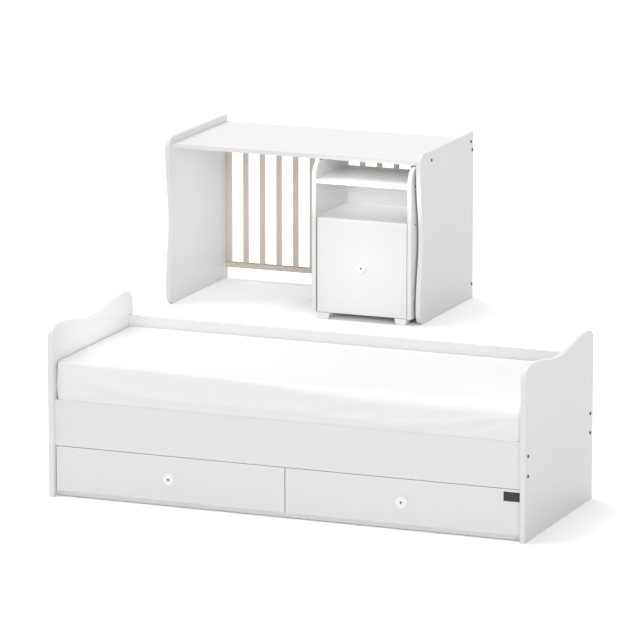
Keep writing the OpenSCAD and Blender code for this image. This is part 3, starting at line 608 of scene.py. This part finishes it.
class CRIB_OT_bed_base(bpy.types.Operator):
    """Finish the bed's slats and ledgers and the dowels in bare beech"""
    bl_idname = "crib.bed_base"
    bl_label = "Bed base"

    dowel_round = 0.5 * MM
    shortest_edge = 0.2 * MM

    def execute(self, context):
        settings = context.scene.crib_timber
        for node, along, radius in (("bed_slats", Y, settings.bar_round),
                                    ("bed_ledgers", X, settings.bar_round),
                                    ("panel_dowels", X, self.dowel_round)):
            material = beech(f"sanded_beech_{node}", settings.beech, settings.beech_grain, along,
                             {"IOR": 1.5})
            dress(node, f"{node}_sanded", radius, [material], self.shortest_edge)
        return {"FINISHED"}


class CRIB_OT_feet(bpy.types.Operator):
    """Lacquer the cabinet's four feet"""
    bl_idname = "crib.feet"
    bl_label = "Feet"

    edge_round = 3 * MM

    def execute(self, context):
        settings = context.scene.crib_timber
        material = sprayed_lacquer("cream_lacquered_beech", settings.feet,
                                   shaded(settings.feet, share=0.96), roughness=0.4)
        dress("cabinet_feet", "cabinet_feet_lacquered", self.edge_round, [material])
        return {"FINISHED"}


def knob_profile(radius, height, bore, dish):
    """Radius and height of a mushroom knob's turned outline, from its foot over the rim and
    into the hole for the screw. The rim is a half round of half the knob's height, and the
    hole's mouth is rounded too, in fewer steps."""
    foot, rim, mouth = 0.75 * radius, height / 4, 1.2 * MM
    neck = height - 2 * rim
    flare = radius - rim - foot
    steps, mouth_step = 12, 3
    quarter = [math.pi / 2 * i / steps for i in range(steps + 1)]
    points = [(foot + flare * (1 - math.cos(a)), neck * math.sin(a)) for a in quarter]
    points += [(radius - rim + rim * math.cos(2 * a - math.pi / 2),
                neck + rim + rim * math.sin(2 * a - math.pi / 2)) for a in quarter[1:]]
    inner = bore + mouth
    for i in range(1, steps):
        share = i / steps
        here = radius - rim + (inner - radius + rim) * share
        points.append((here, height - dish * math.sin(math.pi / 2 * min(1.0, 2 * share)) ** 2))
    points += [(bore + mouth * (1 - math.sin(a)), height - dish - mouth * (1 - math.cos(a)))
               for a in quarter[::mouth_step]]
    return points


class CRIB_OT_knobs(bpy.types.Operator):
    """Turn the three lacquered knobs"""
    bl_idname = "crib.knobs"
    bl_label = "Knobs"

    # Radius of the hole for the screw, height of the screw's head, play around the head, and
    # the bend from which the shading keeps an edge crisp
    shaft = 2.1 * MM
    head_height = 2.5 * MM
    head_play = 0.5 * MM
    crisp = math.radians(60)

    def execute(self, context):
        settings = context.scene.crib_knobs
        material = sprayed_lacquer("white_lacquered_knob", settings.lacquer,
                                   shaded(settings.lacquer, share=0.99), roughness=0.3)
        for drawer in DRAWERS:
            self.turn(drawer, settings, material)
        return {"FINISHED"}

    def turn(self, drawer, settings, material):
        """One knob around its drawer's screw, facing the front."""
        low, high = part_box(f"{drawer}_knob")
        screw_low, screw_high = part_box(f"{drawer}_knob_screw")
        middle = (low + high) / 2
        bore = (screw_high.x - screw_low.x) / 2 + self.head_play
        profile = knob_profile((high.x - low.x) / 2, high.y - low.y, bore, settings.dish)
        floor = high.y - screw_low.y - self.head_height
        profile = [(self.shaft, 0.0), *profile, (bore, floor), (self.shaft, floor)]
        made = bmesh.new()
        rings = [[made.verts.new((middle.x + radius * math.cos(turn), high.y - out,
                                  middle.z + radius * math.sin(turn)))
                  for turn in (math.tau * i / settings.segments
                               for i in range(settings.segments))]
                 for radius, out in profile]
        for inner, outer in zip(rings, rings[1:] + rings[:1]):
            for i in range(settings.segments):
                made.faces.new((inner[i - 1], inner[i], outer[i], outer[i - 1]))
        bmesh.ops.recalc_face_normals(made, faces=made.faces)
        name = f"{drawer}_knob_turned"
        piece = new_piece(name, finished_mesh(made, name), [f"{drawer}_knob"], [material])
        piece.data.shade_smooth()
        piece.data.set_sharp_from_angle(angle=self.crisp)


def eased(start, end, value):
    """0 up to start, 1 past end, and smooth between them."""
    share = min(1.0, max(0.0, (value - start) / (end - start)))
    return share * share * (3 - 2 * share)


def plan_edge(place, low, high, corner):
    """How deep a point lies inside a plan outline with round corners, and the way out."""
    x, y = place.x - (low.x + high.x) / 2, place.y - (low.y + high.y) / 2
    past_x = abs(x) - (high.x - low.x) / 2 + corner
    past_y = abs(y) - (high.y - low.y) / 2 + corner
    if past_x > 0 and past_y > 0:
        out = Vector((past_x, past_y, 0.0))
        depth = corner - out.length
        out.normalize()
    else:
        depth = corner - max(past_x, past_y)
        out = Vector((1.0, 0.0, 0.0)) if past_x > past_y else Vector((0.0, 1.0, 0.0))
    return depth, Vector((math.copysign(out.x, x), math.copysign(out.y, y), 0.0))


def rolled(radius, depth, drop):
    """Depth and drop of a point beside a sharp edge once the edge is rolled to a radius."""
    if depth >= radius or drop >= radius:
        return depth, drop
    arm = Vector((radius - depth, radius - drop)).normalized() * radius
    return radius - arm.x, radius - arm.y


def swell(mesh, distance):
    """Moves every point of a mesh along its normal."""
    mesh.update()
    moves = [distance * Vector(normal.vector) for normal in mesh.vertex_normals]
    for vertex, move in zip(mesh.vertices, moves):
        vertex.co += move


class CRIB_OT_mattress(bpy.types.Operator):
    """Shape the foam mattress and pull its fitted sheet over it"""
    bl_idname = "crib.mattress"
    bl_label = "Mattress and sheet"

    # Round of the corners in plan, gap between foam and sheet, and frames of the settling
    corner = 30 * MM
    gap = 2.5 * MM
    frames = 24

    # From the middle to the right: where the top front edge goes from crisp to soft, where
    # the top falls, and where the sheet goes from tight to loose
    softens = (-0.25, 0.45)
    falls = (-0.75, 0.15)
    loosens = (-0.4, 0.5)
    # From the front edge backwards: how far the fall reaches, where the sheet tightens
    # again, and by what share
    fall_reach = 0.4
    tightens = (0.05, 0.35)
    tightened = 0.8

    # The lowest fold: its reach in widths of the mesh, how much its lip comes and goes, over
    # what length, and the slice of noise that it follows
    fold_reach = 0.6
    lip_change, lip_length, lip_slice = 1.5, 0.09, 7
    # The waves of the sides: their height and length, how often they change on the way up,
    # their slice of noise, the rise at which they would end, and how deep they reach
    wave_height, wave_length, wave_changes, wave_slice = 2.5 * MM, 0.21, 3, 2
    wave_end = 1.2
    wave_depth = 60 * MM

    # The sheet: the slope that counts as its underside, the reach of its crease, the height
    # of its held hem, how much longer it is where tight, and the furthest that a point moves
    underside = -0.9
    crease_reach = 3 * MM
    hem_height = 6 * MM
    least_slack = 0.001
    furthest = 8 * MM

    def execute(self, context):
        settings = context.scene.crib_mattress
        core = self.foam(context, settings)
        sheet = self.sheet(settings, core)
        self.settle(context, settings, core, sheet)
        for piece in (core, sheet):
            piece.data.shade_smooth()
        fine = sheet.modifiers.new("fine", "SUBSURF")
        fine.levels = fine.render_levels = 1
        return {"FINISHED"}

    def foam(self, context, settings):
        """The foam in its cover, a little inside the shape that the sheet takes."""
        mesh = finished_mesh(joined_faces("mattress"), "mattress_foam")
        core = new_piece("mattress_foam", mesh, ["mattress"], [ticking(settings)])
        remesh = core.modifiers.new("remesh", "REMESH")
        remesh.mode, remesh.voxel_size = "VOXEL", settings.mesh_size
        with context.temp_override(object=core, active_object=core, selected_objects=[core]):
            bpy.ops.object.modifier_apply(modifier="remesh")
        low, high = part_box("mattress")
        for vertex in core.data.vertices:
            vertex.co = self.soft_place(vertex.co, low, high, settings)
        swell(core.data, -self.gap)
        return core

    def soft_place(self, place, low, high, settings):
        """Where a point of the sharp block lies once its edges are rolled, its sides swell
        and its top falls towards the loose part of the front edge."""
        depth, out = plan_edge(place, low, high, self.corner)
        right = place.x - (low.x + high.x) / 2
        if self.lowest(place, low, high, self.fold_reach * settings.mesh_size):
            along = noise.noise(Vector((right / self.lip_length, 0, self.lip_slice)))
            fold = settings.lip * (1 + self.lip_change * along)
            return Vector((*(place + (depth + fold) * out).xy, low.z))
        soft = eased(*self.softens, right)
        front = max(0.0, -out.y)
        front_roll = settings.crisp_roll + soft * (settings.soft_roll - settings.crisp_roll)
        top_roll = settings.side_roll + front * (front_roll - settings.side_roll)
        rise = (place.z - low.z) / (high.z - low.z)
        new_depth, drop = rolled(top_roll, depth, high.z - place.z)
        near = 1 - eased(0.0, self.wave_depth, depth)
        ripple = noise.noise(Vector((right / self.wave_length, self.wave_changes * rise,
                                     self.wave_slice)))
        wave = self.wave_height * ripple * (self.wave_end - rise)
        moved = place - out * (new_depth - depth)
        moved += out * near * (settings.bulge * math.sin(math.pi * rise) + wave)
        moved.z = high.z - drop
        fall = settings.sag * eased(*self.falls, right)
        fall *= 1 - eased(0.0, self.fall_reach, place.y - low.y)
        moved.z -= fall * rise
        return moved

    def lowest(self, place, low, high, reach):
        """Whether a point lies on the lowest fold, where the sides meet the underside."""
        depth, _ = plan_edge(place, low, high, self.corner)
        return max(depth, place.z - low.z) < reach

    def sheet(self, settings, core):
        """The fitted sheet: over the top, down the sides and turned under all round."""
        low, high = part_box("mattress")
        mesh = core.data.copy()
        mesh.name = "mattress_sheet"
        swell(mesh, self.gap)
        made = bmesh.new()
        made.from_mesh(mesh)
        under = [face for face in made.faces if face.normal.z < self.underside and
                 plan_edge(face.calc_center_median(), low, high, self.corner)[0] > settings.tuck]
        bmesh.ops.delete(made, geom=under, context="FACES")
        crease = made.edges.layers.float.new("crease_edge")
        for edge in made.edges:
            if all(self.lowest(vertex.co, low, high, self.crease_reach) for vertex in edge.verts):
                edge[crease] = 1.0
        made.to_mesh(mesh)
        made.free()
        return new_piece("mattress_sheet", mesh, ["mattress"], [percale(settings)])

    def settle(self, context, settings, core, sheet):
        """Lets the sheet settle on the foam, loose at the front right and tight elsewhere."""
        low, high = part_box("mattress")
        hem = sheet.vertex_groups.new(name="hem")
        loose = sheet.vertex_groups.new(name="loose")
        for vertex in sheet.data.vertices:
            if vertex.co.z < low.z + self.hem_height:
                hem.add([vertex.index], 1.0, "REPLACE")
            share = eased(*self.loosens, vertex.co.x - (low.x + high.x) / 2)
            share *= 1 - self.tightened * eased(*self.tightens, vertex.co.y - low.y)
            loose.add([vertex.index], share, "REPLACE")
        before = [vertex.co.copy() for vertex in sheet.data.vertices]
        core.modifiers.new("collision", "COLLISION")
        core.collision.thickness_outer = 1 * MM
        modifier = sheet.modifiers.new("cloth", "CLOTH")
        cloth = modifier.settings
        cloth.quality = 6
        cloth.mass = 0.15
        cloth.tension_stiffness = cloth.compression_stiffness = 15.0
        cloth.shear_stiffness = 5.0
        cloth.bending_stiffness = 0.4
        cloth.vertex_group_mass = "hem"
        cloth.vertex_group_shrink = "loose"
        cloth.shrink_min, cloth.shrink_max = -self.least_slack, -settings.slack
        cloth.effector_weights.gravity = 0.4
        modifier.collision_settings.distance_min = 1 * MM
        modifier.collision_settings.collision_quality = 2
        modifier.point_cache.frame_start, modifier.point_cache.frame_end = 1, self.frames
        for frame_number in range(1, self.frames + 1):
            context.scene.frame_set(frame_number)
        with context.temp_override(object=sheet, active_object=sheet, selected_objects=[sheet]):
            bpy.ops.object.modifier_apply(modifier="cloth")
        core.modifiers.remove(core.modifiers["collision"])
        context.scene.frame_set(1)
        for vertex, start in zip(sheet.data.vertices, before):
            move = vertex.co - start
            if move.length > self.furthest:
                vertex.co = start + move.normalized() * self.furthest


class CRIB_OT_runners(bpy.types.Operator):
    """Coat the drawer runners and mould their rollers"""
    bl_idname = "crib.runners"
    bl_label = "Runners and rollers"

    edge_round = 0.3 * MM
    roller_round = 0.8 * MM
    shortest_edge = 0.6 * MM

    def execute(self, context):
        settings = context.scene.crib_fittings
        steel = powder_coat(settings)
        nylon = moulded_plastic("moulded_nylon", settings.nylon, roughness=0.35)
        for node in STEEL:
            dress(node, f"{node}_coated", self.edge_round, [steel])
        for node in ROLLERS:
            dress(node, f"{node}_moulded", self.roller_round, [nylon], self.shortest_edge)
        return {"FINISHED"}


class CRIB_OT_fasteners(bpy.types.Operator):
    """Finish the bolts, nuts and screws, the plug and the bare plate"""
    bl_idname = "crib.fasteners"
    bl_label = "Fasteners"

    # Rounding of small screws and thin edges, of the bolts' heads, and of the plug
    fine_round = 0.3 * MM
    bolt_round = 0.6 * MM
    plug_round = 0.8 * MM
    shortest_edge = 0.35 * MM

    def execute(self, context):
        settings = context.scene.crib_fittings
        burnished = plated_steel("burnished_steel", settings.burnished, roughness=0.4)
        zinc = plated_steel("zinc_plated_steel", settings.zinc, roughness=0.35)
        plug = moulded_plastic("moulded_polyethylene", settings.plug, roughness=0.45)
        plate = moulded_plastic("moulded_dark_plate", settings.plate, roughness=0.35)
        knob_screws = [f"{drawer}_knob_screw" for drawer in DRAWERS]
        for nodes, material, radius in (
                (["panel_bolts"], burnished, self.bolt_round),
                (["cabinet_screws", *knob_screws], burnished, self.fine_round),
                (["panel_barrel_nuts"], zinc, self.fine_round),
                (["desk_hole_plug"], plug, self.plug_round),
                (["right_drawer_plate"], plate, self.fine_round)):
            for node in nodes:
                dress(node, f"{node}_finished", radius, [material], self.shortest_edge)
        return {"FINISHED"}


class CRIB_OT_stage(bpy.types.Operator):
    """Set up the white studio and the camera"""
    bl_idname = "crib.stage"
    bl_label = "Studio"

    # Each softbox: its name, its unit, its width and height, and how far its light spreads
    softboxes = (("desk", "desk", 0.6, 0.5, math.radians(120)),
                 ("niche", "desk", 0.45, 0.02, math.radians(3.6)),
                 ("shelf", "desk", 0.45, 0.02, math.radians(6.6)),
                 ("front", "desk", 0.5, 0.5, math.radians(7)),
                 ("bed", "bed", 0.6, 0.25, math.radians(16)))
    # Half the floor's side, how white the floor is seen, the share of the set's height at
    # which a unit's middle is taken, and how far the camera sees
    floor_reach = 400.0
    floor_seen = 1.3
    middle_share = 0.4
    sight = 1000.0

    def execute(self, context):
        settings = context.scene.crib_stage
        context.scene.view_settings.view_transform = "Standard"
        self.world(context.scene, settings)
        self.floor(context.scene, settings)
        self.light(context.scene, "overhead_key", settings.key, settings.key_width,
                   settings.key_way)
        self.light(context.scene, "low_fill", settings.fill, settings.fill_width,
                   settings.fill_way)
        for name, unit, wide, high, spread in self.softboxes:
            self.softbox(context.scene, settings, name, self.middle(unit), (wide, high), spread)
        self.camera(context.scene, settings)
        return {"FINISHED"}

    def background_ray(self, tree):
        """1 for the rays that show the background itself, and 0 for those that light."""
        path = add(tree, "ShaderNodeLightPath")
        either = add(tree, "ShaderNodeMath", {"operation": "MAXIMUM"},
                     {0: path.outputs["Is Camera Ray"], 1: path.outputs["Is Glossy Ray"]})
        return add(tree, "ShaderNodeMath", {"operation": "MAXIMUM"},
                   {0: either.outputs["Value"], 1: path.outputs["Is Transmission Ray"]})

    def world(self, scene, settings):
        """White all round: full white to look at, and a plain level of light from it."""
        world = bpy.data.worlds.new("studio_white")
        world.use_nodes = True
        scene.world = world
        tree = world.node_tree
        shown = self.background_ray(tree)
        strength = add(tree, "ShaderNodeMapRange", {"To Min": settings.ambient, "To Max": 1.0},
                       {"Value": shown.outputs["Value"]})
        background = tree.nodes["Background"]
        background.inputs["Color"].default_value = (1.0, 1.0, 1.0, 1.0)
        tree.links.new(strength.outputs["Result"], background.inputs["Strength"])

    def floor(self, scene, settings):
        """A large floor that lights the units as pale paper would, and is seen brighter, so
        that it is white outside their shadows."""
        reach = self.floor_reach
        mesh = bpy.data.meshes.new("studio_floor")
        mesh.from_pydata([(-reach, -reach, 0), (reach, -reach, 0), (reach, reach, 0),
                          (-reach, reach, 0)], [], [(0, 1, 2, 3)])
        floor = bpy.data.objects.new("studio_floor", mesh)
        scene.collection.objects.link(floor)
        material = bpy.data.materials.new("studio_paper")
        material.use_nodes = True
        tree = material.node_tree
        tree.nodes.remove(tree.nodes["Principled BSDF"])
        shown = self.background_ray(tree)
        white = add(tree, "ShaderNodeMapRange",
                    {"To Min": settings.floor, "To Max": self.floor_seen},
                    {"Value": shown.outputs["Value"]})
        paper = add(tree, "ShaderNodeBsdfDiffuse", {}, {"Color": white.outputs["Result"]})
        tree.links.new(paper.outputs["BSDF"], tree.nodes["Material Output"].inputs["Surface"])
        mesh.materials.append(material)

    def hang(self, scene, data, place, way):
        """Puts a lamp or the camera at a place, facing the given way."""
        hung = bpy.data.objects.new(data.name, data)
        hung.location = place
        hung.rotation_mode = "QUATERNION"
        hung.rotation_quaternion = way.to_track_quat("-Z", "Y")
        scene.collection.objects.link(hung)
        return hung

    def light(self, scene, name, strength, width, way):
        """A soft light that covers an angle and shines the given way on both units alike."""
        light = bpy.data.lights.new(name, "SUN")
        light.energy, light.angle = strength, width
        self.hang(scene, light, Vector(), way)

    def softbox(self, scene, settings, name, middle, size, spread):
        """A softbox, placed and aimed from a unit's middle, that isn't seen or reflected."""
        light = bpy.data.lights.new(f"{name}_softbox", "AREA")
        light.shape = "RECTANGLE"
        light.size, light.size_y = size
        light.spread = spread
        light.energy = getattr(settings, f"{name}_box")
        place, aim = (getattr(settings, f"{name}_box_{end}") for end in ("off", "aim"))
        lamp = self.hang(scene, light, middle + place, aim - place)
        lamp.visible_camera = lamp.visible_glossy = False

    def middle(self, unit):
        """The middle between a unit's end panels, at a share of the set's height."""
        low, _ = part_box(f"{unit}_left_panel")
        _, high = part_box(f"{unit}_right_panel")
        return Vector(((low.x + high.x) / 2, (low.y + high.y) / 2,
                       self.middle_share * CAD_BOX[1].z))

    def camera(self, scene, settings):
        """From the right of the front, far off and above, with both units in the picture."""
        bed, desk = (self.middle(unit) for unit in ("bed", "desk"))
        target = (bed + desk) / 2
        flat = Vector((math.sin(settings.azimuth), -math.cos(settings.azimuth), 0.0))
        place = bed + settings.distance * flat
        place.z += settings.distance * math.tan(settings.elevation)
        data = bpy.data.cameras.new("studio_camera")
        data.lens, data.clip_end = settings.lens, self.sight
        scene.camera = self.hang(scene, data, place, target - place)


OPERATORS = (CRIB_OT_boards, CRIB_OT_hardboards, CRIB_OT_slatted_back, CRIB_OT_bed_base,
             CRIB_OT_feet, CRIB_OT_knobs, CRIB_OT_mattress, CRIB_OT_runners, CRIB_OT_fasteners,
             CRIB_OT_stage)
SETTINGS = {"crib_boards": BoardSettings, "crib_timber": TimberSettings,
            "crib_knobs": KnobSettings, "crib_mattress": MattressSettings,
            "crib_fittings": FittingSettings, "crib_stage": StageSettings}


class CRIB_PT_looks(bpy.types.Panel):
    """Every step of dressing the crib, with its sizes and colours"""
    bl_idname = "CRIB_PT_looks"
    bl_label = "Convertible crib"
    bl_space_type = "VIEW_3D"
    bl_region_type = "UI"
    bl_category = "Crib"

    def draw(self, context):
        for operator in OPERATORS:
            self.layout.operator(operator.bl_idname)
        for name, group in SETTINGS.items():
            box = self.layout.box()
            box.label(text=group.__doc__)
            for prop in group.__annotations__:
                box.prop(getattr(context.scene, name), prop)


def register():
    for group in (*SETTINGS.values(), *OPERATORS, CRIB_PT_looks):
        bpy.utils.register_class(group)
    for name, group in SETTINGS.items():
        setattr(bpy.types.Scene, name, PointerProperty(type=group))


def unregister():
    for name in SETTINGS:
        delattr(bpy.types.Scene, name)
    for group in reversed((*SETTINGS.values(), *OPERATORS, CRIB_PT_looks)):
        bpy.utils.unregister_class(group)


def main():
    """Dresses the whole part, then brings the view layer up to date."""
    register()
    bpy.ops.crib.boards()
    bpy.ops.crib.hardboards()
    bpy.ops.crib.slatted_back()
    bpy.ops.crib.bed_base()
    bpy.ops.crib.feet()
    bpy.ops.crib.knobs()
    bpy.ops.crib.mattress()
    bpy.ops.crib.runners()
    bpy.ops.crib.fasteners()
    bpy.ops.crib.stage()
    bpy.context.view_layer.update()


if __name__ == "__main__":
    main()
